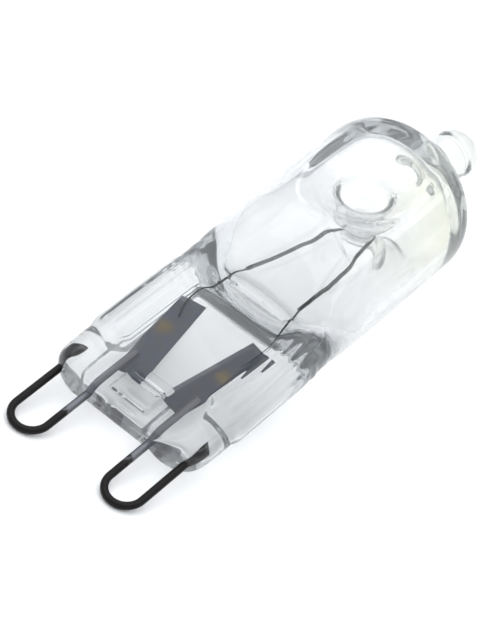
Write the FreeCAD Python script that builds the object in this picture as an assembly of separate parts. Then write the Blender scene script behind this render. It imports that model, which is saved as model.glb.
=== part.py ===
# Halogen capsule lamp with two bent wire loops, as one clear quartz envelope
# with its sealed foils, wire loops and folded filament.
# Units are millimetres. X runs along the lamp from the pinched end to the
# exhaust tip, Y runs across the pinch and Z runs through its thickness.
# X = 0 is the flat end of the pinch, on the lamp's axis.

import FreeCAD
import Part
import math
import os

from FreeCAD import Vector

# Pinch
PINCH_LENGTH = 13.4
PINCH_CORNER = 3.0
END_ROUNDING = 1.1
WEB_HALF = 1.2
LOWER_RIB_RADIUS = 1.5
LOWER_RIB_CENTRE = 5.5
UPPER_RIB_RADIUS = 1.9
UPPER_RIB_CENTRE = 5.3
RIB_FILLET = 0.9
RIB_STEP_START = 4.5
RIB_STEP_END = 5.3

# Tube and dome
TUBE_RADIUS = 6.75
WALL = 0.95
BORE_RADIUS = TUBE_RADIUS - WALL
TUBE_START = PINCH_LENGTH + 6.0
DOME_START = TUBE_START + 11.6
DOME_LENGTH = 3.75
DOME_CORNER = 3.2
DOME_TOP = DOME_START + DOME_LENGTH
BORE_START = TUBE_START + 1.2
BORE_DOME_START = DOME_START - 1.0
BORE_DOME_LENGTH = DOME_TOP - WALL - BORE_DOME_START
BORE_DOME_CORNER = 2.8

# Exhaust tip: a flare on the dome, a neck and a ball
TIP_LEAN = 7.5
TIP_FOOT_X = DOME_TOP - 1.15
TIP_FLARE_RADIUS = 2.0
TIP_FLARE_TURN = 50.0
TIP_NECK_X = DOME_TOP + 1.35
TIP_NECK_RADIUS = 1.6
TIP_BALL_X = DOME_TOP + 3.65
TIP_BALL_RADIUS = 2.0
EXHAUST_BORE_START = DOME_TOP - 1.45
EXHAUST_BORE_END = DOME_TOP + 1.75
EXHAUST_BORE_RADIUS = 1.05

# Shoulder between pinch and tube, and the lower end of the gas space in it:
# distance past the pinch, half width, half thickness
SHOULDER = [
    (-0.5, 7.0, 1.15), (0.2, 7.02, 2.4), (1.3, 6.98, 3.7), (2.7, 6.9, 5.0), (4.3, 6.8, 6.1),
    (TUBE_START - PINCH_LENGTH, TUBE_RADIUS, TUBE_RADIUS),
]
BORE_SHOULDER = [
    (2.2, 2.75, 0.55), (2.9, 3.95, 1.8), (4.6, 5.15, 3.95),
    (BORE_START - PINCH_LENGTH, BORE_RADIUS, BORE_RADIUS),
]

# Raised pads that the lamp holder's spring grips, one on each face of the web
PAD_HEIGHT = 0.5
PAD_FOOT = (0.85, 4.15, 1.75)
PAD_TOP = (1.3, 3.35, 1.15)

# Pair of dimples that hold the fold of the filament, outside and on the gas side
DIMPLE_X = DOME_START - 4.25
DIMPLE_Y = -0.25
DIMPLE_SLOPE = 22.0
NOSE_CENTRE = 2.93
DIMPLE_NOSE_RADIUS = 1.78
DIMPLE_RIM_HEIGHT = TUBE_RADIUS + 0.1
DIMPLE_RIM_RADIUS = 6.7
POST_WAIST_RADIUS = 1.1
POST_NOSE_RADIUS = 2.5
POST_RIM_HEIGHT = BORE_RADIUS + 0.15
POST_RIM_RADIUS = 6.55

# Wire loops
WIRE_RADIUS = 0.3
LOOP_PITCH = 9.0
LOOP_RADIUS = 1.5
LOOP_BEND_X = -3.95
INNER_LEG_LENGTH = 9.1
OUTER_LEG_END = 2.35
OUTER_LEG_SLANT = 40.0
WELD_FLAT = 0.08

# Foils
FOIL_LENGTH = 8.7
FOIL_WIDTH = 2.35
FOIL_THICKNESS = 0.05
FOIL_CENTRE = (7.55, 2.7)
FOIL_TILT = 9.8
FOIL_TOP = -(WIRE_RADIUS - WELD_FLAT)

# Filament, as the corners of its path seen from above, past the pinch
TAIL_RADIUS = 0.08
COIL_RADIUS = 0.16
TAIL_SINK = 0.03
FILAMENT_Z = FOIL_TOP + TAIL_RADIUS - TAIL_SINK
LEFT_TAIL = [(-3.5, 3.1), (-1.4, 3.95), (4.3, 2.66)]
RIGHT_TAIL = [(-3.7, -3.28), (-1.7, -3.8), (3.9, -2.48)]
LEFT_COIL = [(4.03, 2.75), (7.8, 1.5), (12.7, 0.9)]
RIGHT_COIL = [(3.67, -2.5), (12.95, -1.7)]
BRIDGE = [(12.6, -1.73), (14.35, -1.5), (13.5, 0.1), (13.1, 0.78), (12.3, 0.95)]

# Lying down, the lamp leans on its shoulder and on the bends of both loops.
REST_TILT = 14.5


def on_circle(centre, radius, degrees):
    turn = math.radians(degrees)
    return (centre[0] + radius * math.cos(turn), centre[1] + radius * math.sin(turn))


# Round form of a turned outline, as short tapers after each other
def rounded(centre, radius, start, end, count):
    turns = [start + (end - start) * step / count for step in range(1, count + 1)]
    return [on_circle(centre, radius, turn) for turn in turns]


# Solid turned about the X axis from the corners of its outline
def turned(corners):
    outline = Part.makePolygon([Vector(*corner, 0) for corner in corners + corners[:1]])
    return Part.Face(outline).revolve(Vector(0, 0, 0), Vector(1, 0, 0), 360)


# Four quarter arcs, starting on +Y, so that every station of a loft lines up.
def oval_wire(x, half_y, half_z):
    def at(turn):
        return Vector(x, half_y * math.cos(turn), half_z * math.sin(turn))

    quarter = math.pi / 2
    arcs = []
    for step in range(4):
        start = quarter * step
        if abs(half_y - half_z) < 1e-6:
            arc = Part.Arc(at(start), at(start + quarter / 2), at(start + quarter))
        else:
            whole = Part.Ellipse(at(0), at(quarter), Vector(x, 0, 0))
            arc = Part.ArcOfEllipse(whole, start, start + quarter)
        arcs.append(arc.toShape())
    return Part.Wire(arcs)


# The dome is a round corner that runs into a flatter crown.
def tube_with_dome(start, radius, dome_start, dome_length, corner, count):
    top = dome_start + dome_length
    spread = dome_length ** 2 + radius ** 2 - 2 * radius * corner
    crown = spread / (2 * (dome_length - corner))
    crown_centre = (top - crown, 0)
    corner_centre = (dome_start, radius - corner)
    lean = math.degrees(math.atan2(radius - corner, dome_start - crown_centre[0]))
    outline = [(start, 0), (start, radius), (dome_start, radius)]
    outline += rounded(corner_centre, corner, 90, lean, count)
    outline += rounded(crown_centre, crown, lean, 0, 2)
    return turned(outline)


def exhaust_tip():
    ball_gap = TIP_BALL_X - TIP_NECK_X
    spread = ball_gap ** 2 + TIP_NECK_RADIUS ** 2 - TIP_BALL_RADIUS ** 2
    neck = spread / (2 * (TIP_BALL_RADIUS - TIP_NECK_RADIUS))
    neck_centre = (TIP_NECK_X, TIP_NECK_RADIUS + neck)
    lean = math.degrees(math.atan2(-neck_centre[1], ball_gap))
    flare_centre = (TIP_NECK_X, TIP_NECK_RADIUS + TIP_FLARE_RADIUS)
    flare_end = -90 - TIP_FLARE_TURN
    flare_start = on_circle(flare_centre, TIP_FLARE_RADIUS, flare_end)
    foot_spread = (flare_start[0] - TIP_FOOT_X) * math.tan(math.radians(TIP_FLARE_TURN))
    outline = [(TIP_FOOT_X, 0), (TIP_FOOT_X, flare_start[1] + foot_spread), flare_start]
    outline += rounded(flare_centre, TIP_FLARE_RADIUS, flare_end, -90, 3)
    outline += rounded(neck_centre, neck, -90, lean, 2)
    outline += rounded((TIP_BALL_X, 0), TIP_BALL_RADIUS, lean + 180, 0, 7)
    tip = turned(outline)
    tip.rotate(Vector(DOME_TOP, 0, 0), Vector(0, 0, 1), -TIP_LEAN)
    return tip


def exhaust_bore():
    return turned([
        (EXHAUST_BORE_START, 0), (EXHAUST_BORE_START, EXHAUST_BORE_RADIUS), (EXHAUST_BORE_END, 0)
    ])


# One end of the dog-bone section is a round rib that a fillet joins to the flat web.
def bone_wire(x, rib_radius, rib_centre):
    fillet_z = WEB_HALF + RIB_FILLET
    reach = rib_radius + RIB_FILLET
    fillet_y = rib_centre - math.sqrt(reach ** 2 - fillet_z ** 2)
    share = rib_radius / reach
    touch_y = rib_centre + (fillet_y - rib_centre) * share
    touch_z = fillet_z * share
    lean = math.atan2(touch_z - fillet_z, touch_y - fillet_y)
    middle = (lean - math.pi / 2) / 2
    mid_y = fillet_y + RIB_FILLET * math.cos(middle)
    mid_z = fillet_z + RIB_FILLET * math.sin(middle)

    def at(y, z):
        return Vector(x, y, z)

    edges = [
        Part.makeLine(at(-fillet_y, WEB_HALF), at(fillet_y, WEB_HALF)),
        Part.Arc(at(fillet_y, WEB_HALF), at(mid_y, mid_z), at(touch_y, touch_z)).toShape(),
        Part.Arc(
            at(touch_y, touch_z), at(rib_centre + rib_radius, 0), at(touch_y, -touch_z)
        ).toShape(),
        Part.Arc(at(touch_y, -touch_z), at(mid_y, -mid_z), at(fillet_y, -WEB_HALF)).toShape(),
        Part.makeLine(at(fillet_y, -WEB_HALF), at(-fillet_y, -WEB_HALF)),
        Part.Arc(at(-fillet_y, -WEB_HALF), at(-mid_y, -mid_z), at(-touch_y, -touch_z)).toShape(),
        Part.Arc(
            at(-touch_y, -touch_z), at(-rib_centre - rib_radius, 0), at(-touch_y, touch_z)
        ).toShape(),
        Part.Arc(at(-touch_y, touch_z), at(-mid_y, mid_z), at(-fillet_y, WEB_HALF)).toShape(),
    ]
    return Part.Wire(edges)


# Rounded end of the pinch, seen from above and from the side
def end_shape():
    half = UPPER_RIB_CENTRE + UPPER_RIB_RADIUS + 0.3
    corner = PINCH_CORNER
    side = half - corner
    bend = corner * (1 - math.sqrt(0.5))
    low = -3.0
    high = 3.0
    plan = Part.Wire([
        Part.makeLine(Vector(0, -side, low), Vector(0, side, low)),
        Part.Arc(
            Vector(0, side, low), Vector(bend, half - bend, low), Vector(corner, half, low)
        ).toShape(),
        Part.makeLine(Vector(corner, half, low), Vector(PINCH_LENGTH + 1, half, low)),
        Part.makeLine(
            Vector(PINCH_LENGTH + 1, half, low), Vector(PINCH_LENGTH + 1, -half, low)
        ),
        Part.makeLine(Vector(PINCH_LENGTH + 1, -half, low), Vector(corner, -half, low)),
        Part.Arc(
            Vector(corner, -half, low), Vector(bend, bend - half, low), Vector(0, -side, low)
        ).toShape(),
    ])
    above = Part.Face(plan).extrude(Vector(0, 0, high - low))
    rise = END_ROUNDING
    thick = UPPER_RIB_RADIUS + 0.05
    flat = thick - rise
    turn = rise * (1 - math.sqrt(0.5))
    edge = -half - 1
    profile = Part.Wire([
        Part.makeLine(Vector(0, edge, -flat), Vector(0, edge, flat)),
        Part.Arc(
            Vector(0, edge, flat), Vector(turn, edge, thick - turn), Vector(rise, edge, thick)
        ).toShape(),
        Part.makeLine(Vector(rise, edge, thick), Vector(PINCH_LENGTH + 1, edge, thick)),
        Part.makeLine(
            Vector(PINCH_LENGTH + 1, edge, thick), Vector(PINCH_LENGTH + 1, edge, -thick)
        ),
        Part.makeLine(Vector(PINCH_LENGTH + 1, edge, -thick), Vector(rise, edge, -thick)),
        Part.Arc(
            Vector(rise, edge, -thick), Vector(turn, edge, turn - thick), Vector(0, edge, -flat)
        ).toShape(),
    ])
    beside = Part.Face(profile).extrude(Vector(0, 2 * half + 2, 0))
    return above.common(beside)


def pad(side):
    foot_z = side * (WEB_HALF - 0.2)
    top_z = side * (WEB_HALF + PAD_HEIGHT)
    wires = []
    for (start, end, half), z in ((PAD_FOOT, foot_z), (PAD_TOP, top_z)):
        wires.append(Part.makePolygon([
            Vector(start, -half, z),
            Vector(end, -half, z),
            Vector(end, half, z),
            Vector(start, half, z),
            Vector(start, -half, z),
        ]))
    return Part.makeLoft(wires, True, True)


def pinch():
    sections = [
        bone_wire(0, LOWER_RIB_RADIUS, LOWER_RIB_CENTRE),
        bone_wire(RIB_STEP_START, LOWER_RIB_RADIUS, LOWER_RIB_CENTRE),
        bone_wire(RIB_STEP_END, UPPER_RIB_RADIUS, UPPER_RIB_CENTRE),
        bone_wire(PINCH_LENGTH, UPPER_RIB_RADIUS, UPPER_RIB_CENTRE),
    ]
    body = Part.makeLoft(sections, True, True)
    body = body.common(end_shape())
    return body.fuse([pad(1), pad(-1)])


def shoulder(stations):
    wires = [oval_wire(PINCH_LENGTH + past, half_y, half_z) for past, half_y, half_z in stations]
    return Part.makeLoft(wires, True, True)


# Outline from a round nose, up a sloping wall and over a wide round rim
def funnel(nose_radius, nose_start, rim_height, rim_radius, count):
    nose_centre = (NOSE_CENTRE, 0)
    slope = math.radians(DIMPLE_SLOPE)
    wall = on_circle(nose_centre, nose_radius, 90 + DIMPLE_SLOPE)
    across = (rim_radius - wall[1]) * math.cos(slope)
    along = (rim_height - wall[0]) * math.sin(slope)
    rim = (across - along) / (1 - math.sin(slope))
    rim_centre = (rim_height - rim, rim_radius)
    outline = rounded(nose_centre, nose_radius, nose_start, 90 + DIMPLE_SLOPE, count)
    outline.append(on_circle(rim_centre, rim, DIMPLE_SLOPE - 90))
    outline += rounded(rim_centre, rim, DIMPLE_SLOPE - 90, 0, count)
    outline += [(TUBE_RADIUS + 2, rim_radius), (TUBE_RADIUS + 2, 0)]
    return outline


def stood_up(shape, side):
    shape.rotate(Vector(0, 0, 0), Vector(0, 1, 0), -90 * side)
    shape.translate(Vector(DIMPLE_X, DIMPLE_Y, 0))
    return shape


def dimple(side):
    outline = [(NOSE_CENTRE - DIMPLE_NOSE_RADIUS, 0)]
    outline += funnel(DIMPLE_NOSE_RADIUS, 180, DIMPLE_RIM_HEIGHT, DIMPLE_RIM_RADIUS, 3)
    return stood_up(turned(outline), side)


# The two pressed-in walls meet on the axis and form one waisted post.
def half_post(side):
    spread = NOSE_CENTRE ** 2 + POST_WAIST_RADIUS ** 2 - POST_NOSE_RADIUS ** 2
    waist = spread / (2 * (POST_NOSE_RADIUS - POST_WAIST_RADIUS))
    waist_centre = (0, POST_WAIST_RADIUS + waist)
    lean = math.degrees(math.atan2(-waist_centre[1], NOSE_CENTRE))
    outline = [(0, 0), (0, POST_WAIST_RADIUS)]
    outline += rounded(waist_centre, waist, -90, lean, 2)
    outline += funnel(POST_NOSE_RADIUS, lean + 180, POST_RIM_HEIGHT, POST_RIM_RADIUS, 2)
    return stood_up(turned(outline), side)


def gas_space():
    space = tube_with_dome(
        BORE_START, BORE_RADIUS, BORE_DOME_START, BORE_DOME_LENGTH, BORE_DOME_CORNER, 3
    )
    space = space.fuse([shoulder(BORE_SHOULDER), exhaust_bore()])
    return space.cut([half_post(1), half_post(-1)])


def envelope_blank():
    body = tube_with_dome(TUBE_START, TUBE_RADIUS, DOME_START, DOME_LENGTH, DOME_CORNER, 6)
    body = body.fuse([shoulder(SHOULDER), pinch(), exhaust_tip()])
    body = body.cut([dimple(1), dimple(-1)])
    return body.cut(gas_space())


# Straight runs of round wire in a level plane, mitred where they meet
def bent_wire(points, radius):
    line = Part.makePolygon(points)
    disc = Part.Wire(Part.Circle(points[0], points[1] - points[0], radius).toShape())
    return line.makePipeShell([disc], True, False, 1)


def wire_loop(side):
    middle = side * LOOP_PITCH / 2
    outer_y = middle + side * LOOP_RADIUS
    inner_y = middle - side * LOOP_RADIUS
    bend = rounded((LOOP_BEND_X, middle), LOOP_RADIUS, side * 90, side * 270, 9)
    corners = [(OUTER_LEG_END + WIRE_RADIUS, outer_y), (LOOP_BEND_X, outer_y)]
    corners += bend
    corners.append((LOOP_BEND_X + INNER_LEG_LENGTH, inner_y))
    loop = bent_wire([Vector(*corner, 0) for corner in corners], WIRE_RADIUS)
    slant = Part.makeBox(3, 4, 2, Vector(0, -2, -1))
    slant.rotate(Vector(0, 0, 0), Vector(0, 0, 1), side * OUTER_LEG_SLANT)
    slant.translate(Vector(OUTER_LEG_END, outer_y, 0))
    flat = Part.makeBox(6, 2, 1, Vector(foil_start_x(), inner_y - 1, FOIL_TOP - 1))
    return loop.cut([slant, flat])


def foil_start_x():
    tilt = math.radians(FOIL_TILT)
    reach = FOIL_LENGTH / 2 * math.cos(tilt) + FOIL_WIDTH / 2 * math.sin(tilt)
    return FOIL_CENTRE[0] - reach


def foil(side):
    strip = Part.makeBox(
        FOIL_LENGTH,
        FOIL_WIDTH,
        FOIL_THICKNESS,
        Vector(-FOIL_LENGTH / 2, -FOIL_WIDTH / 2, FOIL_TOP - FOIL_THICKNESS),
    )
    strip.rotate(Vector(0, 0, 0), Vector(0, 0, 1), side * FOIL_TILT)
    strip.translate(Vector(FOIL_CENTRE[0], side * FOIL_CENTRE[1], 0))
    return strip


def filament():
    pieces = []
    for corners, radius in (
        (LEFT_COIL, COIL_RADIUS),
        (RIGHT_COIL, COIL_RADIUS),
        (BRIDGE, TAIL_RADIUS),
        (LEFT_TAIL, TAIL_RADIUS),
        (RIGHT_TAIL, TAIL_RADIUS),
    ):
        points = [Vector(PINCH_LENGTH + past, y, FILAMENT_Z) for past, y in corners]
        pieces.append(bent_wire(points, radius))
    wire = pieces[0].fuse(pieces[1:])
    below_foil_top = Part.makeBox(5, 10, 1, Vector(foil_start_x() + 5, -5, FOIL_TOP - 1))
    return wire.cut(below_foil_top)


def single_solid(shape):
    clean = shape.removeSplitter()
    solids = clean.Solids
    if len(solids) != 1:
        raise ValueError("expected one solid, found %d" % len(solids))
    return solids[0]


def main():
    os.makedirs("parts", exist_ok=True)
    pieces = {
        "pin_loop_left": single_solid(wire_loop(1)),
        "pin_loop_right": single_solid(wire_loop(-1)),
        "foil_left": single_solid(foil(1)),
        "foil_right": single_solid(foil(-1)),
        "filament": single_solid(filament()),
    }
    blank = envelope_blank()
    pieces["envelope"] = single_solid(blank.cut(list(pieces.values())))
    for name, solid in pieces.items():
        solid.rotate(Vector(0, 0, 0), Vector(0, 1, 0), -REST_TILT)
        solid.exportStep("parts/%s.step" % name)


main()
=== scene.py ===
# %% [markdown]
# # A clear halogen capsule bulb
# The real bulb is one piece of quartz glass, pressed flat at one end round two thin foils, with
# a wire loop welded to each foil outside and a folded tungsten filament between them inside.
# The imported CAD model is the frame: it fixes the main sizes, and each new piece stands where its
# CAD solid stands.

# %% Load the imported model
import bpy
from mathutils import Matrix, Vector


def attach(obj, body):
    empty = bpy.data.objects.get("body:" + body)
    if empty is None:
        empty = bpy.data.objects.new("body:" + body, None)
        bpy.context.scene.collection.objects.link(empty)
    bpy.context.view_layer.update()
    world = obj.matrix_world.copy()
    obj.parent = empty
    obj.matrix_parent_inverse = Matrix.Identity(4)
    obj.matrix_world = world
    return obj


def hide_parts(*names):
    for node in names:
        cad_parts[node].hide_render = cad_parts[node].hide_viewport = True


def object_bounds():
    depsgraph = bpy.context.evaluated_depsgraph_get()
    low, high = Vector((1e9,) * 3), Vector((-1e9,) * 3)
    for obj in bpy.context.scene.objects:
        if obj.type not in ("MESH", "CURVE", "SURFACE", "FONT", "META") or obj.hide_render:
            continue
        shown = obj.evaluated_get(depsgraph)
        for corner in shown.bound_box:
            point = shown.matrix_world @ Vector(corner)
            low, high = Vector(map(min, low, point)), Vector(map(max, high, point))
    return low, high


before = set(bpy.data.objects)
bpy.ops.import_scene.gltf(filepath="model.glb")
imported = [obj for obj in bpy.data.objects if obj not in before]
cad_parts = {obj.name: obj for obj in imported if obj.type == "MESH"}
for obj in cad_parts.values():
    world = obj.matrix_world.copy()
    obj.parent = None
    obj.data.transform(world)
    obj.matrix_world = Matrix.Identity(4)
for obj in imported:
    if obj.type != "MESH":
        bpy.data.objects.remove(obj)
cad_box = [list(corner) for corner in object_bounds()]

import math
import bpy
import numpy as np
from mathutils import Matrix, Vector

print("CAD box", cad_box, "nodes", sorted(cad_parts))

# %% [markdown]
# All sizes here are in millimetres along the bulb: X from the flat end of the pinch to the
# melted-off tip, Y across the pinch, Z through it. The bulb rests on its shoulder and on both
# loops, so its axis rises by 14.5 degrees. One function turns bulb coordinates into the frame's
# metres, and every piece goes through it.

# %% Bulb coordinates
REST_TILT = math.radians(14.5)
MILLIMETRE = 0.001
TURN = np.array([
    [math.cos(REST_TILT), 0, -math.sin(REST_TILT)],
    [0, 1, 0],
    [math.sin(REST_TILT), 0, math.cos(REST_TILT)],
])


def laid_down(points):
    return np.asarray(points, dtype=float) @ TURN.T * MILLIMETRE


def place_vertices(piece, points):
    piece.data.vertices.foreach_set("co", laid_down(points).ravel())
    piece.data.update()


def lay_piece_down(piece):
    points = np.empty(len(piece.data.vertices) * 3)
    piece.data.vertices.foreach_get("co", points)
    place_vertices(piece, points.reshape(-1, 3))


def clear_selection():
    if bpy.context.object and bpy.context.object.mode != "OBJECT":
        bpy.ops.object.mode_set(mode="OBJECT")
    bpy.ops.object.select_all(action="DESELECT")


def select_only(*pieces):
    clear_selection()
    for piece in pieces:
        piece.select_set(True)
    bpy.context.view_layer.objects.active = pieces[-1]


def stands_for(piece, node):
    piece.name = node + "_look"
    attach(piece, "root")
    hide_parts(node)
    triangles = sum(len(face.vertices) - 2 for face in piece.data.polygons)
    print(piece.name, triangles, "triangles")


# %% [markdown]
# The camera comes first, because everything else is judged through it. It looks down at the
# bulb from beside the loops with a long lens, which is why the pinch and the dome look almost
# equally large.

# %% Camera
CAMERA_LENS = 134.4
CAMERA_PLACE = (-0.110221, -0.061831, 0.106682)
CAMERA_FORWARD = (0.716099, 0.359600, -0.598239)
CAMERA_UP = (0.350366, 0.556094, 0.753659)


def add_camera():
    data = bpy.data.cameras.new("camera")
    data.lens = CAMERA_LENS
    data.sensor_width = 36
    data.clip_start = 0.01
    camera = bpy.data.objects.new("camera", data)
    bpy.context.scene.collection.objects.link(camera)
    forward = Vector(CAMERA_FORWARD).normalized()
    right = forward.cross(Vector(CAMERA_UP)).normalized()
    up = right.cross(forward)
    turn = Matrix((right, up, -forward)).transposed().to_4x4()
    camera.matrix_world = Matrix.Translation(CAMERA_PLACE) @ turn
    bpy.context.scene.camera = camera
    return camera


camera = add_camera()
print("camera at", tuple(round(v, 4) for v in camera.location))

# %% [markdown]
# Clear glass shows only what it bends and mirrors. On a white table its edges stay pale unless
# something a little darker stands round it, so the room is a pale grey that darkens towards its
# foot. One broad soft light hangs above, and two strips give the long streaks on the tube. The
# glass casts no shadow, so the table under it is fully lit, and rays that pass through glass don't
# see the lights, which would count them twice.

# %% Table, room and lights
FLOOR_GAP = 0.00002
LIGHT_TARGET = (0.02, 0, 0)
# Name, place and size in metres, and power in watts
LIGHTS = [
    ("overhead", (0.02, 0.05, 0.75), (1.4, 1.4), 7.1),
    ("side_strip", (0.2, -0.6, 0.35), (0.5, 0.12), 0.4),
    ("back_strip", (0.5, 0.45, 0.3), (0.12, 0.5), 0.4),
]


def hex_colour(text):
    channels = [int(text[i:i + 2], 16) / 255 for i in (1, 3, 5)]
    linear = [c / 12.92 if c <= 0.04045 else ((c + 0.055) / 1.055) ** 2.4 for c in channels]
    return (*linear, 1.0)


# A number in settings or wires is an input's place, for nodes whose inputs share one name
def add_node(tree, kind, settings=None, wires=None, **links):
    node = tree.nodes.new(kind)
    for name, value in (settings or {}).items():
        if isinstance(name, int) or name in node.inputs:
            node.inputs[name].default_value = value
        else:
            setattr(node, name, value)
    for place, source in (wires or {}).items():
        tree.links.new(source, node.inputs[place])
    for name, source in links.items():
        tree.links.new(source, node.inputs[name.replace("_", " ")])
    return node


def ramp_colours(node, stops):
    elements = node.color_ramp.elements
    while len(elements) < len(stops):
        elements.new(0.5)
    for element, (place, colour) in zip(elements, stops):
        element.position = place
        element.color = hex_colour(colour)


def new_material(name):
    material = bpy.data.materials.new(name)
    material.use_nodes = True
    material.node_tree.nodes.clear()
    return material, material.node_tree


def finish_material(tree, shader):
    output = tree.nodes.new("ShaderNodeOutputMaterial")
    tree.links.new(shader, output.inputs["Surface"])
    return output


# Object coordinates turned into the bulb's own, in millimetres unless a scale is given
def bulb_place(tree, scale=(1000, 1000, 1000)):
    place = add_node(tree, "ShaderNodeTexCoord")
    return add_node(tree, "ShaderNodeMapping", {
        "Rotation": (0, REST_TILT, 0), "Scale": scale,
    }, Vector=place.outputs["Object"])


FLOOR_Z = cad_box[0][2]
clear_selection()
bpy.ops.mesh.primitive_plane_add(size=4, location=(0, 0, 0))
table = bpy.context.object
table.name = "white_table"
table.data.transform(Matrix.Translation((0, 0, FLOOR_Z - FLOOR_GAP)))
material, tree = new_material("white_card")
paper = add_node(tree, "ShaderNodeBsdfPrincipled", {
    "Base Color": hex_colour("#fbfbfb"), "Roughness": 0.9, "Specular IOR Level": 0.1,
})
finish_material(tree, paper.outputs[0])
table.data.materials.append(material)

world = bpy.data.worlds.new("pale_room")
bpy.context.scene.world = world
world.use_nodes = True
tree = world.node_tree
room = add_node(tree, "ShaderNodeTexCoord")
height = add_node(tree, "ShaderNodeSeparateXYZ", Vector=room.outputs["Generated"])
walls = add_node(tree, "ShaderNodeValToRGB", Fac=height.outputs[2])
ramp_colours(walls, [(0.0, "#b4b8bc"), (0.06, "#d2d6da")])
tree.links.new(walls.outputs[0], tree.nodes["Background"].inputs["Color"])


def add_light(name, place, size, power):
    data = bpy.data.lights.new(name, "AREA")
    data.shape = "RECTANGLE"
    data.size, data.size_y = size
    data.energy = power
    light = bpy.data.objects.new(name, data)
    bpy.context.scene.collection.objects.link(light)
    light.location = place
    aim = Vector(LIGHT_TARGET) - Vector(place)
    light.rotation_euler = aim.to_track_quat("-Z", "Y").to_euler()
    light.visible_transmission = False


for light in LIGHTS:
    add_light(*light)
scene = bpy.context.scene
scene.view_settings.view_transform = "Standard"
scene.cycles.transmission_bounces = 24
scene.cycles.max_bounces = 28
print("table at", round(FLOOR_Z, 5), "lights", [name for name, *rest in LIGHTS])

# %% [markdown]
# ## The quartz envelope
# The real envelope starts as a tube. Its end is heated and pressed flat, its dome is melted
# shut round a thin exhaust tube that is then burnt off, and two punches press the dimples.
# Operators can't press glass, so a grid is rolled up by formula instead: each row of the grid
# is one section along the bulb. These helpers blend one form softly into the next, the way
# molten glass does.

# %% Soft blends
def ramp(value, start, end):
    share = np.clip((value - start) / (end - start), 0, 1)
    return share * share * (3 - 2 * share)


def soft_max(a, b, power):
    a = np.maximum(a, 1e-6)
    b = np.maximum(b, 1e-6)
    top = np.maximum(a, b)
    return top * ((a / top) ** power + (b / top) ** power) ** (1 / power)


def soft_min(a, b, power):
    a = np.maximum(a, 1e-6)
    b = np.maximum(b, 1e-6)
    low = np.minimum(a, b)
    return low * ((low / a) ** power + (low / b) ** power) ** (-1 / power)


# Smooth curve through a table of values that never swings past them
def smooth_table(x, table):
    xs, ys = np.array(table, dtype=float).T
    step = np.diff(xs)
    grade = np.diff(ys) / step
    slope = np.zeros(len(xs))
    same = grade[:-1] * grade[1:] > 0
    slope[1:-1][same] = 2 * grade[:-1][same] * grade[1:][same] / (grade[:-1] + grade[1:])[same]
    slope[0], slope[-1] = grade[0], grade[-1]
    x = np.clip(x, xs[0], xs[-1])
    i = np.clip(np.searchsorted(xs, x, side="right") - 1, 0, len(xs) - 2)
    t = (x - xs[i]) / step[i]
    rise = (2 * t ** 3 - 3 * t ** 2 + 1) * ys[i] + (3 * t ** 2 - 2 * t ** 3) * ys[i + 1]
    return rise + step[i] * ((t ** 3 - 2 * t ** 2 + t) * slope[i] + (t ** 3 - t ** 2) * slope[i + 1])


def spaced(*stretches):
    rows = [np.linspace(start, end, count, endpoint=False) for start, end, count in stretches]
    return np.concatenate(rows + [[stretches[-1][1]]])


# %% [markdown]
# The pinch has a dog-bone section: a flat web between two round ribs, thinner at the lower end.
# A small raised pad in the middle of each face is what the lamp holder's spring grips. The
# glass was soft when it was pressed, so every corner is round.

# %% Section of the pinch and the shoulder
TUBE_RADIUS = 6.75
TUBE_START = 21.0
PINCH_HALF = 7.5
PINCH_CORNER = 3.0
END_ROUNDING = 0.85
WEB_HALF = 1.2
LOWER_RIB_RADIUS = 1.5
LOWER_RIB_CENTRE = 5.5
UPPER_RIB_RADIUS = 1.9
UPPER_RIB_CENTRE = 5.3
RIB_STEP_START = 4.4
RIB_STEP_END = 5.4
RIB_FILLET = 0.9
RIB_STREAK = 0.035
PAD_HEIGHT = 0.4
# Foot and top of the pad's walls: X of both ends and Y of the sides
PAD_LOWER_END = (0.8, 1.1)
PAD_UPPER_END = (4.15, 3.85)
PAD_SIDE = (1.85, 1.55)
# Grooves in the upper pad: place along X, half width, depth, and the stretch of Y
PAD_GROOVES = [
    (0.5, 0.14, 0.2, (-1.1, 0.5)),
    (1.5, 0.18, 0.32, (-1.4, 0.6)),
    (2.5, 0.13, 0.2, (-1.3, 1.2)),
    (3.15, 0.17, 0.28, (-1.5, 1.2)),
]
SHOULDER_THICKNESS = [
    (12.75, 0.6), (13.05, 1.45), (13.6, 2.4), (14.7, 3.7), (16.1, 5.0), (17.7, 6.1), (19.4, 6.68),
    (TUBE_START, TUBE_RADIUS), (24.0, TUBE_RADIUS),
]
SHOULDER_WIDTH = [
    (12.5, 7.2), (13.6, 7.14), (14.7, 7.03), (16.1, 6.91), (17.7, 6.81), (19.4, TUBE_RADIUS),
    (22.0, TUBE_RADIUS),
]


# Past its corners the plan opens fast, and the ribs alone set the width
def pinch_width(x):
    inset = np.clip(PINCH_CORNER - x, 0, PINCH_CORNER)
    plan = PINCH_HALF - PINCH_CORNER + np.sqrt(PINCH_CORNER ** 2 - inset ** 2)
    plan = plan + 3 * np.maximum(x - PINCH_CORNER, 0)
    return soft_min(plan, rib_centre(x) + rib_radius(x), 30)


def rib_radius(x):
    grown = UPPER_RIB_RADIUS - LOWER_RIB_RADIUS
    return LOWER_RIB_RADIUS + grown * ramp(x, RIB_STEP_START, RIB_STEP_END)


def rib_centre(x):
    moved = UPPER_RIB_CENTRE - LOWER_RIB_CENTRE
    return LOWER_RIB_CENTRE + moved * ramp(x, RIB_STEP_START, RIB_STEP_END)


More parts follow.
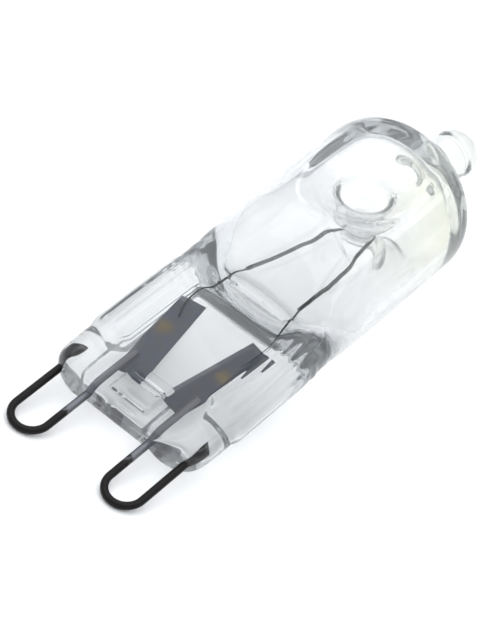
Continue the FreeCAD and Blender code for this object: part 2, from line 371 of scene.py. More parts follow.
# The edges of the shoulder are wrinkled, here in width and in body_thickness in height
def outer_width(x):
    wrinkle = ramp(x, 12.2, 13.2) * ramp(x, 19.5, 16.5)
    inwards = 0.025 * wrinkle * (2 + np.sin(x * 4.1) + np.sin(x * 7.3 + 1))
    shoulder = smooth_table(x, SHOULDER_WIDTH)
    return np.where(x < SHOULDER_WIDTH[0][0], pinch_width(x), shoulder) - inwards


def bone_thickness(x, y):
    radius = rib_radius(x)
    centre = rib_centre(x)
    y = np.abs(y) * (centre + radius) / outer_width(x)
    reach = radius + RIB_FILLET
    fillet_z = WEB_HALF + RIB_FILLET
    fillet_y = centre - np.sqrt(reach ** 2 - fillet_z ** 2)
    touch_y = centre + (fillet_y - centre) * radius / reach
    fillet = fillet_z - np.sqrt(np.maximum(RIB_FILLET ** 2 - (y - fillet_y) ** 2, 0))
    rib = np.sqrt(np.maximum(radius ** 2 - (y - centre) ** 2, 0))
    streaks = 1 + np.cos(y * 8.2 + 0.5 * np.sin(x * 0.55 + 1))
    on_rib = ramp(x, 4.8, 5.8) * ramp(y, centre - 1.4, centre - 0.6)
    rib = rib * (1 - RIB_STREAK * streaks * on_rib)
    return np.where(y < fillet_y, WEB_HALF, np.where(y < touch_y, fillet, rib))


def pad_height(x, y):
    along = ramp(x, *PAD_LOWER_END) * ramp(x, *PAD_UPPER_END)
    return PAD_HEIGHT * along * ramp(np.abs(y), *PAD_SIDE)


def pad_grooves(x, y):
    depth = np.zeros_like(y)
    for place, half, deep, (low, high) in PAD_GROOVES:
        across = ramp(y, low - 0.15, low + 0.15) * ramp(y, high + 0.15, high - 0.15)
        depth += deep * ramp(np.abs(x - place), half, 0) * across
    return depth


def body_thickness(x, y):
    rise = np.clip(END_ROUNDING - x, 0, END_ROUNDING)
    end = END_ROUNDING - np.sqrt(END_ROUNDING ** 2 - rise ** 2)
    bone = bone_thickness(x, y) - end + pad_height(x, y)
    bone = bone * ramp(x, 16.2, 14.4)
    across = np.sqrt(np.maximum(1 - (y / outer_width(x)) ** 2, 0))
    wrinkle = ramp(x, 12.8, 14.0) * ramp(x, 17.5, 15.5) * ramp(np.abs(y), 4.8, 5.8)
    folds = np.sin(x * 3.7 + y * 1.9) * np.sin(y * 2.6 - x * 1.3) + np.sin(x * 6.1 - y * 3.1)
    across = across * (1 - 0.012 * wrinkle * (2 + folds))
    shoulder = smooth_table(x, SHOULDER_THICKNESS) * across * (x > SHOULDER_THICKNESS[0][0])
    return soft_max(bone, shoulder, 8)


print("web %.1f mm, ribs %.1f to %.1f mm thick"
      % (2 * WEB_HALF, 2 * LOWER_RIB_RADIUS, 2 * UPPER_RIB_RADIUS))

# %% [markdown]
# A dimple is a round nose at the end of a steep wall that opens through a throat into a flat
# cone with a soft rim. Its profile is three arcs joined by lines, walked at an even pace, so the
# grid can be drawn into the pit without thinning out on the steep wall. The gas side has the same
# form about one wall thickness further out, and the two walls meet on the axis in a waisted post.

# %% Dimple profiles
DIMPLE_X = 26.75
DIMPLE_Y = -0.25
WALL_SLOPE = 5.0
CONE_SLOPE = 55.0
THROAT = (3.35, 2.83)
THROAT_RADIUS = 1.0
NOSE_CENTRE = 2.93
NOSE_RADIUS = 1.78
POST_WAIST = 1.1
POST_NOSE = 2.5
# Height and radius where each funnel ends
DIMPLE_RIM = (6.85, 6.7)
POST_RIM = (5.95, 6.55)


def arc_points(centre, radius, start, end, count=60):
    turn = np.radians(np.linspace(start, end, count))
    return np.stack([centre[0] + radius * np.cos(turn), centre[1] + radius * np.sin(turn)], axis=1)


def even_pace(points, count=600):
    points = np.concatenate(points)
    run = np.concatenate([[0], np.cumsum(np.hypot(*np.diff(points, axis=0).T))])
    even = np.linspace(0, run[-1], count)
    return np.interp(even, run, points[:, 0]), np.interp(even, run, points[:, 1])


# Nose, steep wall, throat, cone and rim, from the bottom of the pit to its edge
def funnel_arcs(nose_radius, nose_start, throat_radius, end):
    rim_height, rim_radius = end
    slope = math.radians(CONE_SLOPE)
    nose = arc_points((NOSE_CENTRE, 0), nose_radius, nose_start, 90 + WALL_SLOPE)
    throat = arc_points(THROAT, throat_radius, WALL_SLOPE - 90, CONE_SLOPE - 90)
    height, radius = throat[-1]
    across = (rim_radius - radius) * math.cos(slope) - (rim_height - height) * math.sin(slope)
    rim = across / (1 - math.sin(slope))
    centre = (rim_height - rim, rim_radius)
    return [nose, throat, arc_points(centre, rim, CONE_SLOPE - 90, 0)]


def dimple_profile():
    return even_pace(funnel_arcs(NOSE_RADIUS, 180, THROAT_RADIUS, DIMPLE_RIM))


def post_profile():
    spread = NOSE_CENTRE ** 2 + POST_WAIST ** 2 - POST_NOSE ** 2
    radius = spread / (2 * (POST_NOSE - POST_WAIST))
    lean = math.degrees(math.atan2(-POST_WAIST - radius, NOSE_CENTRE))
    start = arc_points((0, POST_WAIST + radius), radius, -90, lean)
    throat = THROAT_RADIUS - POST_NOSE + NOSE_RADIUS
    return even_pace([start] + funnel_arcs(POST_NOSE, lean + 180, throat, POST_RIM))


# Draws the vertices near the dimple's axis into the pit. Towards the rim and the sides of the
# tube they stay where they are. Where a square is given, it is each vertex's place round a hole
# in the grid, and the vertices at its edge land on the profile's first point.
def press_dimple(x, y, thickness, profile, side_y, square=None):
    heights, radii = profile
    end = radii[-1]
    dx = x - DIMPLE_X
    dy = y - DIMPLE_Y
    distance = np.hypot(dx, dy)
    reach, inner = distance, 0.0
    if square is not None:
        inner = 1.0
        round_off = ramp(square, inner, end)
        reach = (1 - round_off) * square + round_off * distance
    place = np.clip((reach - inner) / (end - inner), 0, 1) * (len(radii) - 1)
    radius = np.interp(place, np.arange(len(radii)), radii)
    stay = np.maximum(ramp(reach, 0.6 * end, end), ramp(np.abs(y), 0.7 * side_y, 0.95 * side_y))
    drawn = (1 - stay) * radius + stay * distance
    scale = drawn / np.maximum(distance, 1e-9)
    x = DIMPLE_X + dx * scale
    y = DIMPLE_Y + dy * scale
    wall = thickness(x, y)
    height = np.interp(drawn, radii, heights)
    pit = np.where(height < 1e-6, 0, soft_min(wall, height, 18))
    fade = ramp(drawn, 0.8 * end, end)
    return x, y, (1 - fade) * pit + fade * wall


print("post waist %.1f mm across, walls %.2f mm" % (2 * POST_WAIST, POST_NOSE - NOSE_RADIUS))

# %% [markdown]
# The dome is a round corner and a flatter crown. A short flare leads from the crown into the
# neck and the ball of the exhaust tip, which leans a little because the exhaust tube sagged
# while it was burnt off. Two furrows run round the ball, where the glass cooled in folds.

# %% Dome and tip
DOME_START = 31.0
DOME_TOP = 34.75
DOME_CORNER = 3.2
# The dimples don't reach past this place
DOME_PRESSED_END = 33.0
TIP_LEAN = math.radians(7.5)
TIP_LEAN_SPAN = (34.3, 36.2)
TIP_FLARE_RADIUS = 1.5
TIP_NECK_RADIUS = 1.6
TIP_BALL_X = 38.4
TIP_BALL_RADIUS = 2.0
FURROWS = (37.1, 38.25)
FURROW_DEPTH = 0.26
FURROW_HALF = 0.2


# Radius of the crown, and the angle in degrees where it meets the round corner
def crown_of(start, top, corner, radius):
    length = top - start
    crown = (length ** 2 + radius ** 2 - 2 * radius * corner) / (2 * (length - corner))
    lean = math.degrees(math.atan2(radius - corner, start - (top - crown)))
    return crown, lean


def dome_rows():
    crown, lean = crown_of(DOME_START, DOME_TOP, DOME_CORNER, TUBE_RADIUS)
    middle = DOME_TOP - crown
    corner = arc_points((DOME_START, TUBE_RADIUS - DOME_CORNER), DOME_CORNER, 90, lean, 16)
    flare = TIP_FLARE_RADIUS
    neck_radius = TIP_NECK_RADIUS
    neck_x = middle + math.sqrt((crown + flare) ** 2 - (neck_radius + flare) ** 2)
    touch = math.degrees(math.asin((neck_radius + flare) / (crown + flare)))
    top = arc_points((middle, 0), crown, lean, touch, 9)[1:]
    bend = arc_points((neck_x, neck_radius + flare), flare, 180 + touch, 270, 14)[1:]
    gap = TIP_BALL_X - neck_x
    spread = gap ** 2 + neck_radius ** 2 - TIP_BALL_RADIUS ** 2
    hollow = spread / (2 * (TIP_BALL_RADIUS - neck_radius))
    turn = math.degrees(math.atan2(-neck_radius - hollow, gap))
    neck = arc_points((neck_x, neck_radius + hollow), hollow, -90, turn, 8)[1:]
    ball = arc_points((TIP_BALL_X, 0), TIP_BALL_RADIUS, turn + 180, 1.5, 56)[1:]
    for place in FURROWS:
        ball[:, 1] -= FURROW_DEPTH * np.exp(-((ball[:, 0] - place) / FURROW_HALF) ** 2)
    return np.concatenate([corner, top, bend, neck, ball])


def lean_tip(x, y, middle_x):
    lean = ramp(middle_x, *TIP_LEAN_SPAN) * TIP_LEAN
    dx = x - DOME_TOP
    return DOME_TOP + dx * np.cos(lean) + y * np.sin(lean), y * np.cos(lean) - dx * np.sin(lean)


dome_crown = crown_of(DOME_START, DOME_TOP, DOME_CORNER, TUBE_RADIUS)
print("dome crown radius %.2f mm, meets the corner at %.1f degrees" % dome_crown)

# %% [markdown]
# Now the grid is rolled up. Its rows are close together where the form turns quickly: the
# rounded end, the pad, the step in the ribs, the shoulder, the dimples and the neck of the tip.
# The first and last rows shrink to a point, which closes the two ends.

# %% Roll up a skin
OUTER_COLUMNS = 240
OUTER_DIMPLE = dimple_profile()


def rolled_grid(name, rows, columns):
    clear_selection()
    bpy.ops.mesh.primitive_grid_add(x_subdivisions=columns, y_subdivisions=rows - 1, size=1)
    skin = bpy.context.object
    skin.name = name
    return skin


# Angles of a row's vertices round the bulb, and 1 on the upper face or -1 on the lower
def around(columns):
    turn = np.linspace(-math.pi, math.pi, columns + 1)
    return turn, np.where(np.cos(turn) >= 0, 1.0, -1.0)


def layer_of(x, y, z):
    return np.stack([x, y, z], axis=1)


def pole(x, columns):
    return np.repeat([[*lean_tip(x, 0.0, x), 0.0]], columns + 1, axis=0)


def tube_thickness(x, y):
    rise = np.clip(x - DOME_START, 0, DOME_CORNER - 1e-6)
    radius = TUBE_RADIUS - DOME_CORNER + np.sqrt(DOME_CORNER ** 2 - rise ** 2)
    dome = np.sqrt(np.maximum(radius ** 2 - y ** 2, 0))
    return np.where(x < TUBE_START, body_thickness(np.minimum(x, TUBE_START), y), dome)


def pressed_layer(x, y, side):
    x, y, z = press_dimple(x, y, tube_thickness, OUTER_DIMPLE, TUBE_RADIUS)
    z = z - np.where(side > 0, pad_grooves(x, y), 0)
    return layer_of(x, y, side * z)


def outer_skin():
    end = END_ROUNDING * (1 - np.cos(np.linspace(0, math.pi / 2, 12, endpoint=False)))
    rows_x = np.concatenate([end, spaced(
        (END_ROUNDING, 1.7, 14), (1.7, 2.4, 6), (2.4, 3.25, 14), (3.25, 3.9, 5), (3.9, 4.2, 6),
        (4.2, 5.6, 10), (5.6, 12.4, 16), (12.4, 14.0, 14), (14.0, 19.4, 24), (19.4, 21.6, 6),
        (21.6, DOME_START, 47),
    )])
    turn, side = around(OUTER_COLUMNS)
    flat = np.zeros_like(turn)
    y = outer_width(flat) * np.sin(turn)
    z = side * body_thickness(flat, y)
    layers = [layer_of(flat, y * shrink, z * shrink) for shrink in (0.0, 0.3, 0.6, 0.85, 0.96)]
    for x_row in rows_x[:-1]:
        x = np.full_like(turn, x_row)
        y = outer_width(x) * np.sin(turn)
        layers.append(pressed_layer(x, y, side))
    for x_row, radius in dome_rows():
        x = np.full_like(turn, x_row)
        y = radius * np.sin(turn)
        if x_row < DOME_PRESSED_END:
            layers.append(pressed_layer(x, y, side))
        else:
            x, y = lean_tip(x, y, x_row)
            layers.append(layer_of(x, y, radius * np.cos(turn)))
    layers.append(pole(TIP_BALL_X + TIP_BALL_RADIUS, OUTER_COLUMNS))
    skin = rolled_grid("envelope_outside", len(layers), OUTER_COLUMNS)
    place_vertices(skin, np.concatenate(layers))
    return skin


outside = outer_skin()
print("outer skin", len(outside.data.vertices), "vertices")

# %% [markdown]
# The gas space is a second skin. It starts as a thin lens-shaped slot in the shoulder, opens to
# the bore of the tube and ends under the dome with the narrow bore of the exhaust tip, which
# closes in a round end. The square of grid vertices over the post is deleted above and below,
# and the two loops left open meet at the post's waist.

# %% Gas space
BORE_RADIUS = 5.8
# Round end of the slot, and half width and half thickness of the gas space from there on
BORE_START = 15.42
BORE_WIDTH = [
    (15.6, 2.45), (15.95, 2.6), (16.1, 3.5), (16.5, 4.1), (17.4, 4.8), (18.9, 5.5), (20.6, 5.79),
    (22.0, BORE_RADIUS), (24.0, BORE_RADIUS),
]
BORE_THICKNESS = [
    (15.6, 0.5), (15.95, 0.6), (16.1, 1.4), (16.5, 2.0), (17.4, 3.2), (18.9, 4.85), (20.6, 5.72),
    (22.0, BORE_RADIUS), (24.0, BORE_RADIUS),
]
SLOT_END, SLOT_HALF_WIDTH = BORE_WIDTH[0]
SLOT_HALF_THICKNESS = BORE_THICKNESS[0][1]
BORE_DOME_START = 30.0
BORE_DOME_TOP = 33.8
BORE_DOME_CORNER = 2.8
BORE_PRESSED_END = 32.4
EXHAUST_MOUTH = 1.35
EXHAUST_BORE = [
    (33.84, 1.16), (33.92, 1.06), (34.1, 1.02), (34.5, 1.0), (35.0, 0.96), (35.5, 0.86),
    (35.9, 0.68), (36.2, 0.45), (36.4, 0.2),
]
EXHAUST_END = 36.5
BORE_COLUMNS = 176
ROW_PITCH = 0.2
INNER_POST = post_profile()
# The hole over the post is this many cells from its middle to each side
HOLE_CELLS = 5
HOLE_LENGTH = ROW_PITCH * HOLE_CELLS
HOLE_WIDTH = math.sin(HOLE_CELLS * 2 * math.pi / BORE_COLUMNS)


def bore_wall(x, y):
    rise = np.clip(x - BORE_DOME_START, 0, BORE_DOME_CORNER - 1e-6)
    dome = BORE_RADIUS - BORE_DOME_CORNER + np.sqrt(BORE_DOME_CORNER ** 2 - rise ** 2)
    in_table = x < BORE_WIDTH[-1][0]
    width = np.where(in_table, smooth_table(x, BORE_WIDTH), dome)
    height = np.where(in_table, smooth_table(x, BORE_THICKNESS), dome)
    return height * np.sqrt(np.maximum(1 - (y / width) ** 2, 0))


def bore_dome_rows():
    crown, lean = crown_of(BORE_DOME_START, BORE_DOME_TOP, BORE_DOME_CORNER, BORE_RADIUS)
    middle = BORE_DOME_TOP - crown
    centre = (BORE_DOME_START, BORE_RADIUS - BORE_DOME_CORNER)
    corner = arc_points(centre, BORE_DOME_CORNER, 90, lean, 14)
    touch = math.degrees(math.asin(EXHAUST_MOUTH / crown))
    top = arc_points((middle, 0), crown, lean, touch, 9)[1:]
    return np.concatenate([corner, top, EXHAUST_BORE])


def bore_rows():
    near = DIMPLE_X + ROW_PITCH * np.arange(-26, 16)
    far = spaced((SLOT_END, 16.6, 14), (16.6, 20.6, 20), (20.6, near[0], 3))[:-1]
    rows_x = np.concatenate([far, near])
    rows = [(x, smooth_table(np.array([x]), BORE_WIDTH)[0]) for x in rows_x]
    return rows + [tuple(row) for row in bore_dome_rows()]


def inner_skin():
    turn, side = around(BORE_COLUMNS)
    clear = np.zeros(len(turn), dtype=bool)
    layers = [pole(BORE_START, BORE_COLUMNS)]
    for share in (0.1, 0.35, 0.7):
        grow = math.sqrt(1 - (1 - share) ** 2)
        x = np.full_like(turn, BORE_START + (SLOT_END - BORE_START) * share)
        y = SLOT_HALF_WIDTH * grow * np.sin(turn)
        layers.append(layer_of(x, y, SLOT_HALF_THICKNESS * grow * np.cos(turn)))
    over_post = [clear] * len(layers)
    for x_row, radius in bore_rows():
        x = np.full_like(turn, x_row)
        shift = DIMPLE_Y * ramp(x_row, 20.6, 22.5) * ramp(x_row, BORE_PRESSED_END, 30.5)
        y = radius * np.sin(turn) + shift * np.cos(turn) ** 2
        if x_row < BORE_PRESSED_END:
            across = np.abs(np.sin(turn)) / HOLE_WIDTH
            square = np.maximum(np.abs(x - DIMPLE_X) / HOLE_LENGTH, across)
            over_post.append(square < 1 - 1e-6)
            x, y, z = press_dimple(x, y, bore_wall, INNER_POST, BORE_RADIUS, square)
            layers.append(layer_of(x, y, side * z))
        else:
            over_post.append(clear)
            x, y = lean_tip(x, y, x_row)
            layers.append(layer_of(x, y, radius * np.cos(turn)))
    layers.append(pole(EXHAUST_END, BORE_COLUMNS))
    over_post.append(clear)
    skin = rolled_grid("envelope_inside", len(layers), BORE_COLUMNS)
    place_vertices(skin, np.concatenate(layers))
    bpy.context.tool_settings.mesh_select_mode = (True, False, False)
    skin.data.vertices.foreach_set("select", np.concatenate(over_post))
    skin.data.edges.foreach_set("select", np.zeros(len(skin.data.edges), dtype=bool))
    skin.data.polygons.foreach_set("select", np.zeros(len(skin.data.polygons), dtype=bool))
    bpy.ops.object.mode_set(mode="EDIT")
    bpy.ops.mesh.delete(type="VERT")
    bpy.ops.object.mode_set(mode="OBJECT")
    return skin


inside = inner_skin()
print("inner skin", len(inside.data.vertices), "vertices")

# %% [markdown]
# The seams and poles are merged, and each skin is turned so that its faces look out of the
# glass: the outer one away from the bulb, the inner one into the gas.

# %% Close and join the skins
def close_skin(skin, outwards):
    select_only(skin)
    bpy.ops.object.mode_set(mode="EDIT")
    bpy.ops.mesh.select_all(action="SELECT")
    bpy.ops.mesh.remove_doubles(threshold=2e-7)
    bpy.ops.mesh.dissolve_degenerate(threshold=1e-8)
    bpy.ops.object.mode_set(mode="OBJECT")
    mesh = skin.data
    mesh.calc_loop_triangles()
    points = np.array([vertex.co for vertex in mesh.vertices])
    corners = points[np.array([triangle.vertices for triangle in mesh.loop_triangles])]
    volume = np.einsum("ij,ij->i", corners[:, 0], np.cross(corners[:, 1], corners[:, 2])).sum() / 6
    if (volume > 0) != outwards:
        bpy.ops.object.mode_set(mode="EDIT")
        bpy.ops.mesh.select_all(action="SELECT")
        bpy.ops.mesh.flip_normals()
        bpy.ops.object.mode_set(mode="OBJECT")
    bpy.ops.object.shade_smooth()
    uses = {}
    for face in mesh.polygons:
        for key in face.edge_keys:
            uses[key] = uses.get(key, 0) + 1
    odd_edges = sum(count != 2 for count in uses.values())
    print(skin.name, "volume %.0f mm3" % abs(volume * 1e9), "edges without two faces", odd_edges)


close_skin(outside, True)
close_skin(inside, False)
select_only(inside, outside)
bpy.ops.object.join()
envelope = bpy.context.object

# %% [markdown]
# Fused quartz is clear, with an IOR of 1.46 and a fire-polished surface. What gives it life is
# that it was worked hot, so its surface carries faint long waves, a couple of millimetres apart
# round the tube. One flank near the dome has a faint yellow cast, and thick glass greys a little.
# A small share of the light goes straight through (Alpha), because the two closed skins would
# otherwise trap light by total reflection and show it as black patches.

# %% Clear quartz
def quartz_material():
    material, tree = new_material("fire_polished_quartz")
    stretched = bulb_place(tree, (220, 900, 900))
    waves = add_node(tree, "ShaderNodeTexNoise", {
        "Scale": 0.5, "Detail": 2.0, "Roughness": 0.4,
    }, Vector=stretched.outputs[0])
    bump = add_node(tree, "ShaderNodeBump", {"Strength": 0.03, "Distance": 0.00008},
                    Height=waves.outputs[0])
    split = add_node(tree, "ShaderNodeSeparateXYZ", Vector=bulb_place(tree).outputs[0])
    end = add_node(tree, "ShaderNodeMapRange", {"From Min": 25.0, "From Max": 33.0},
                   Value=split.outputs[0])
    flank = add_node(tree, "ShaderNodeMapRange", {"From Min": 2.0, "From Max": -6.5},
                     Value=split.outputs[1])
    cast = add_node(tree, "ShaderNodeMath", {"operation": "MULTIPLY"},
                    {0: end.outputs[0], 1: flank.outputs[0]})
    tint = add_node(tree, "ShaderNodeValToRGB", Fac=cast.outputs[0])
    ramp_colours(tint, [(0.0, "#fdfdfd"), (1.0, "#fbfcec")])
    glass = add_node(tree, "ShaderNodeBsdfPrincipled", {
        "Roughness": 0.0, "IOR": 1.46, "Transmission Weight": 1.0, "Alpha": 0.92,
    }, Base_Color=tint.outputs[0], Normal=bump.outputs[0])
    output = finish_material(tree, glass.outputs[0])
    depth = add_node(tree, "ShaderNodeVolumeAbsorption", {
        "Color": (0.10, 0.15, 0.18, 1.0), "Density": 60.0,
    })
    tree.links.new(depth.outputs[0], output.inputs["Volume"])
    return material


envelope.data.materials.clear()
envelope.data.materials.append(quartz_material())
envelope.visible_shadow = False
stands_for(envelope, "envelope")

# %% [markdown]
# ## The wire loops
# Each contact is a piece of molybdenum wire bent round a pin. It is a disc, drawn out along the
# outer leg, spun half a turn round the middle of the loop and drawn out again along the inner
# leg, as the wire itself was bent. The blunt end in the glass is cut on the slant and the weld
# end is pressed flat against the foil. The wire is black from the heat of sealing, and scraped
# back to grey metal on the inner legs.

# %% Wire loops
WIRE_RADIUS = 0.3
LOOP_RADIUS = 1.5
LOOP_MIDDLE = 4.5
LOOP_BEND_X = -3.92
INNER_LEG_LENGTH = 9.1
OUTER_LEG_END = 2.35
OUTER_LEG_CUT = 0.25
OUTER_LEG_SLANT = 0.7
WELD_START = 3.0
FOIL_TOP = -0.22


def draw_out(length, steps):
    for step in range(steps):
        bpy.ops.mesh.extrude_region_move(TRANSFORM_OT_translate={"value": (length / steps, 0, 0)})


def bend_loop(side):
    clear_selection()
    bpy.ops.mesh.primitive_circle_add(
        vertices=28, radius=WIRE_RADIUS, fill_type="NGON",
        location=(0, 0, 0), rotation=(0, math.pi / 2, 0),
    )
    loop = bpy.context.object
    bpy.ops.object.transform_apply(location=True, rotation=True, scale=True)
    bpy.ops.object.mode_set(mode="EDIT")
    bpy.ops.mesh.select_all(action="SELECT")
    start_x = OUTER_LEG_END + WIRE_RADIUS
    bpy.ops.transform.translate(value=(start_x, side * (LOOP_MIDDLE + LOOP_RADIUS), 0))
    draw_out(LOOP_BEND_X - start_x, 8)
    bpy.ops.mesh.spin(
        steps=28, angle=-side * math.pi,
        center=(LOOP_BEND_X, side * LOOP_MIDDLE, 0), axis=(0, 0, 1),
    )
    draw_out(INNER_LEG_LENGTH, 12)
    bpy.ops.mesh.select_all(action="SELECT")
    bpy.ops.mesh.remove_doubles(threshold=0.001)
    bpy.ops.mesh.normals_make_consistent(inside=False)
    bpy.ops.object.mode_set(mode="OBJECT")
    for vertex in loop.data.vertices:
        x, y, z = vertex.co
        outer = abs(y) > LOOP_MIDDLE
        if outer and x > OUTER_LEG_END:
            outwards = abs(y) - LOOP_MIDDLE - LOOP_RADIUS
            vertex.co.x = OUTER_LEG_END + OUTER_LEG_CUT - outwards * math.tan(OUTER_LEG_SLANT)
        if not outer and x > WELD_START:
            vertex.co.z = max(z, FOIL_TOP)
    bpy.ops.object.shade_smooth_by_angle(angle=math.radians(40))
    lay_piece_down(loop)
    return loop


def wire_material():
    material, tree = new_material("heat_blackened_molybdenum")
    place = bulb_place(tree)
    split = add_node(tree, "ShaderNodeSeparateXYZ", Vector=place.outputs[0])
    grain = add_node(tree, "ShaderNodeTexNoise", {"Scale": 3.0, "Detail": 4.0},
                     Vector=place.outputs[0])
    patches = add_node(tree, "ShaderNodeMath", {"operation": "MULTIPLY_ADD", 1: 2.4},
                       {0: grain.outputs[0], 2: split.outputs[0]})
    bright = add_node(tree, "ShaderNodeMapRange", {"From Min": -1.4, "From Max": -0.6},
                      Value=patches.outputs[0])
    away = add_node(tree, "ShaderNodeMath", {"operation": "ABSOLUTE"}, {0: split.outputs[1]})
    inner = add_node(tree, "ShaderNodeMath", {"operation": "LESS_THAN", 1: LOOP_MIDDLE},
                     {0: away.outputs[0]})
    scraped = add_node(tree, "ShaderNodeMath", {"operation": "MULTIPLY"},
                       {0: bright.outputs[0], 1: inner.outputs[0]})
    colours = add_node(tree, "ShaderNodeValToRGB", Fac=scraped.outputs[0])
    ramp_colours(colours, [(0.0, "#211f1f"), (0.5, "#3a3a3c"), (1.0, "#6f7076")])
    dull = add_node(tree, "ShaderNodeMapRange", {"To Min": 0.28, "To Max": 0.5},
                    Value=grain.outputs[0])
    bump = add_node(tree, "ShaderNodeBump", {"Strength": 0.25, "Distance": 0.00001},
                    Height=grain.outputs[0])
    metal = add_node(tree, "ShaderNodeBsdfPrincipled", {"Metallic": 0.85},
                     Base_Color=colours.outputs[0], Roughness=dull.outputs[0],
                     Normal=bump.outputs[0])
    finish_material(tree, metal.outputs[0])
    return material


loop_wire = wire_material()
for side, node in ((1, "pin_loop_left"), (-1, "pin_loop_right")):
    loop = bend_loop(side)
    loop.data.materials.append(loop_wire)
    stands_for(loop, node)

# %% [markdown]
# ## The foils
# The seal is two strips of molybdenum, so thin that the quartz closes round them as it shrinks.
# They are a dull bluish grey with one brown spot each, and slightly wavy from the pressing. The
# right foil is painted a darker copy of the same grey, which is painted shade: both foils are the
# same metal. Each is a grid with a hundredth of a millimetre of wave, crumpled where the loop is
# welded on, and gets a thin wall.

# %% Foils
FOIL_LENGTH = 8.7
FOIL_WIDTH = 2.35
FOIL_TILT = math.radians(9.8)
FOIL_CENTRE = (7.55, 2.7)
FOIL_WALL = 0.028
FOIL_SINK = 0.013
FOIL_CRUMPLE = 0.05


def press_foil(side):
    clear_selection()
    bpy.ops.mesh.primitive_grid_add(x_subdivisions=60, y_subdivisions=16, size=1)
    foil = bpy.context.object
    points = np.array([vertex.co for vertex in foil.data.vertices])
    x = points[:, 0] * FOIL_LENGTH
    y = points[:, 1] * FOIL_WIDTH
    wave = 0.006 * np.sin(x * 2.1 + side) * np.cos(y * 1.3) + 0.004 * np.sin(x * 5.3)
    crumple = ramp(x, -2.2, -3.2) * (1 + np.sin(y * 5.2 + x * 2.5 + side))
    turn = side * FOIL_TILT
    place = layer_of(
        FOIL_CENTRE[0] + x * math.cos(turn) - y * math.sin(turn),
        side * FOIL_CENTRE[1] + x * math.sin(turn) + y * math.cos(turn),
        FOIL_TOP - FOIL_SINK + wave - FOIL_CRUMPLE * crumple,
    )
    foil.data.vertices.foreach_set("co", place.ravel())
    wall = foil.modifiers.new("wall", "SOLIDIFY")
    wall.thickness = FOIL_WALL
    wall.offset = -1
    bpy.ops.object.modifier_apply(modifier=wall.name)
    lay_piece_down(foil)
    return foil


def foil_material(name, colour, worn, stain_place):
    material, tree = new_material(name)
    place = bulb_place(tree)
    grain = add_node(tree, "ShaderNodeTexNoise", {"Scale": 1.6, "Detail": 5.0},
                     Vector=place.outputs[0])
    colours = add_node(tree, "ShaderNodeValToRGB", Fac=grain.outputs[0])
    ramp_colours(colours, [(0.35, colour), (0.7, worn)])
    away = add_node(tree, "ShaderNodeVectorMath", {"operation": "DISTANCE", 1: stain_place},
                    {0: place.outputs[0]})
    ragged = add_node(tree, "ShaderNodeMath", {"operation": "MULTIPLY_ADD", 1: 1.6},
                      {0: grain.outputs[0], 2: away.outputs["Value"]})
    stain = add_node(tree, "ShaderNodeMapRange", {"From Min": 1.65, "From Max": 1.05},
                     Value=ragged.outputs[0])
    brown = add_node(tree, "ShaderNodeMix", {
        "data_type": "RGBA", 7: hex_colour("#6b5a35"),
    }, {0: stain.outputs[0], 6: colours.outputs[0]})
    bump = add_node(tree, "ShaderNodeBump", {"Strength": 0.3, "Distance": 0.00003},
                    Height=grain.outputs[0])
    metal = add_node(tree, "ShaderNodeBsdfPrincipled", {"Metallic": 0.2, "Roughness": 0.6},
                     Base_Color=brown.outputs[2], Normal=bump.outputs[0])
    finish_material(tree, metal.outputs[0])
    return material


# Both foils are the same metal: the left keeps the lit bluish grey, and the right one's darker
# colours are painted shade.
foil_lit_copy = foil_material("sealed_foil_lit_copy", "#41485a", "#4a4a4c", (8.6, 3.2, -0.25))
foil_painted_shade = foil_material("sealed_foil_painted_shade", "#363c4b", "#3c3d42", (8.0, -3.0, -0.25))
for side, node, foil_shade_copy in ((1, "foil_left", foil_lit_copy), (-1, "foil_right", foil_painted_shade)):
    foil = press_foil(side)
    foil.data.materials.append(foil_shade_copy)
    stands_for(foil, node)

# %% [markdown]
# ## The filament
# Two coils of tungsten wire, 0.32 mm across, lead from the foils to the dimples, where a bare
# stretch of the same wire folds round between them. A coil is one small ring of vertices wound
# into a helix by the Screw modifier and then laid along its path. Its wire and pitch are drawn
# a little coarser than the real ones, so that the turns show.

# %% Filament
TAIL_RADIUS = 0.08
FILAMENT_Z = -0.17
COIL_PITCH = 0.125
COIL_WIRE = 0.05
COIL_RADIUS = 0.158
LEFT_TAIL = [(9.9, 3.1), (11.6, 3.88), (13.2, 3.8), (15.2, 3.12), (17.9, 2.6)]
RIGHT_TAIL = [(9.7, -3.28), (11.5, -3.76), (13.4, -3.45), (15.6, -2.8), (17.6, -2.46)]
LEFT_COIL = [(17.43, 2.75), (21.2, 1.5), (26.1, 0.9)]
RIGHT_COIL = [(17.07, -2.5), (21.7, -2.1), (26.35, -1.7)]
BRIDGE = [(26.0, -1.73), (27.75, -1.5), (26.85, 0.0), (26.4, 0.72), (25.7, 0.97)]


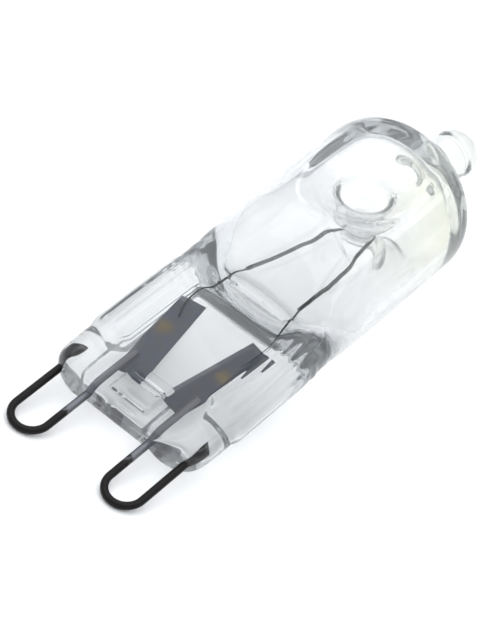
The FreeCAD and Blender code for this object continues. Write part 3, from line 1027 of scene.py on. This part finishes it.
def coil(path):
    first, middle, last = [np.array(point) for point in path]
    length = float(np.hypot(*(last - first)))
    clear_selection()
    bpy.ops.mesh.primitive_circle_add(
        vertices=8, radius=COIL_WIRE, location=(0, COIL_RADIUS - COIL_WIRE, 0),
    )
    ring = bpy.context.object
    bpy.ops.object.transform_apply(location=True, rotation=True, scale=True)
    wind = ring.modifiers.new("wind", "SCREW")
    wind.axis = "X"
    wind.angle = 2 * math.pi
    wind.screw_offset = COIL_PITCH
    wind.iterations = int(length / COIL_PITCH)
    wind.steps = wind.render_steps = 12
    bpy.ops.object.modifier_apply(modifier=wind.name)
    points = np.array([vertex.co for vertex in ring.data.vertices])
    share = (points[:, 0] - points[:, 0].min()) / np.ptp(points[:, 0])
    bow = middle - (first + last) / 2
    centre = first + (last - first) * share[:, None] + bow * (4 * share * (1 - share))[:, None]
    ahead = (last - first) + bow * (4 - 8 * share)[:, None]
    ahead /= np.hypot(*ahead.T)[:, None]
    place = layer_of(
        centre[:, 0] - ahead[:, 1] * points[:, 1],
        centre[:, 1] + ahead[:, 0] * points[:, 1],
        FILAMENT_Z + points[:, 2],
    )
    ring.data.vertices.foreach_set("co", place.ravel())
    return ring


def bare_wire(path, radius):
    curve = bpy.data.curves.new("bare_wire", "CURVE")
    curve.dimensions = "3D"
    curve.bevel_depth = radius
    curve.bevel_resolution = 3
    curve.resolution_u = 8
    curve.use_fill_caps = True
    line = curve.splines.new("NURBS")
    line.points.add(len(path) - 1)
    for point, (x, y) in zip(line.points, path):
        point.co = (x, y, FILAMENT_Z, 1)
    line.order_u = 3
    line.use_endpoint_u = True
    wire = bpy.data.objects.new("bare_wire", curve)
    bpy.context.scene.collection.objects.link(wire)
    select_only(wire)
    bpy.ops.object.convert(target="MESH")
    return bpy.context.object


def tungsten_material():
    material, tree = new_material("drawn_tungsten")
    place = add_node(tree, "ShaderNodeTexCoord")
    grain = add_node(tree, "ShaderNodeTexNoise", {"Scale": 4000.0, "Detail": 3.0},
                     Vector=place.outputs["Object"])
    colours = add_node(tree, "ShaderNodeValToRGB", Fac=grain.outputs[0])
    ramp_colours(colours, [(0.3, "#161718"), (0.75, "#363738")])
    metal = add_node(tree, "ShaderNodeBsdfPrincipled", {"Metallic": 0.9, "Roughness": 0.4},
                     Base_Color=colours.outputs[0])
    finish_material(tree, metal.outputs[0])
    return material


pieces = [coil(LEFT_COIL), coil(RIGHT_COIL)]
pieces += [bare_wire(path, TAIL_RADIUS) for path in (BRIDGE, LEFT_TAIL, RIGHT_TAIL)]
select_only(*pieces)
bpy.ops.object.join()
filament = bpy.context.object
bpy.ops.object.mode_set(mode="EDIT")
bpy.ops.mesh.select_all(action="SELECT")
bpy.ops.mesh.remove_doubles(threshold=0.0005)
bpy.ops.mesh.normals_make_consistent(inside=False)
bpy.ops.object.mode_set(mode="OBJECT")
bpy.ops.object.shade_smooth()
lay_piece_down(filament)
filament.data.materials.clear()
filament.data.materials.append(tungsten_material())
stands_for(filament, "filament")
